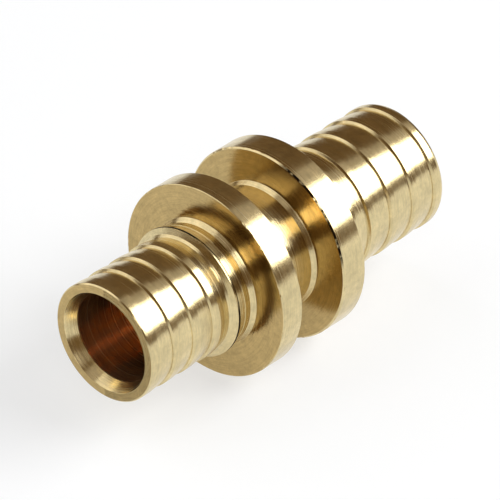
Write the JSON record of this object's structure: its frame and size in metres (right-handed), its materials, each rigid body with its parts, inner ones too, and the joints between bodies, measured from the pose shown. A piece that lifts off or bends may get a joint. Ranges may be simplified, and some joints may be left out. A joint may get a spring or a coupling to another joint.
{
  "type": "pex pipe coupling",
  "caption": "Turned brass coupling for plastic pipe: barbed spigots point opposite ways from a flanged neck, and a pressing tool slides sleeves over the pipes against the flanges.",
  "frame": {"origin": "centre of the small spigot's end face, on the axis; the coupling stands on this face", "axes": "+Z along the axis from the small spigot's mouth to the large spigot's mouth; X and Y are alike, because the part is round"},
  "size_m": [0.032, 0.032, 0.0649],
  "materials": {
    "brass_body": "turned brass, satin"
  },
  "bodies": {
    "root": {"coupling_body": "brass_body"}
  },
  "joints": []
}
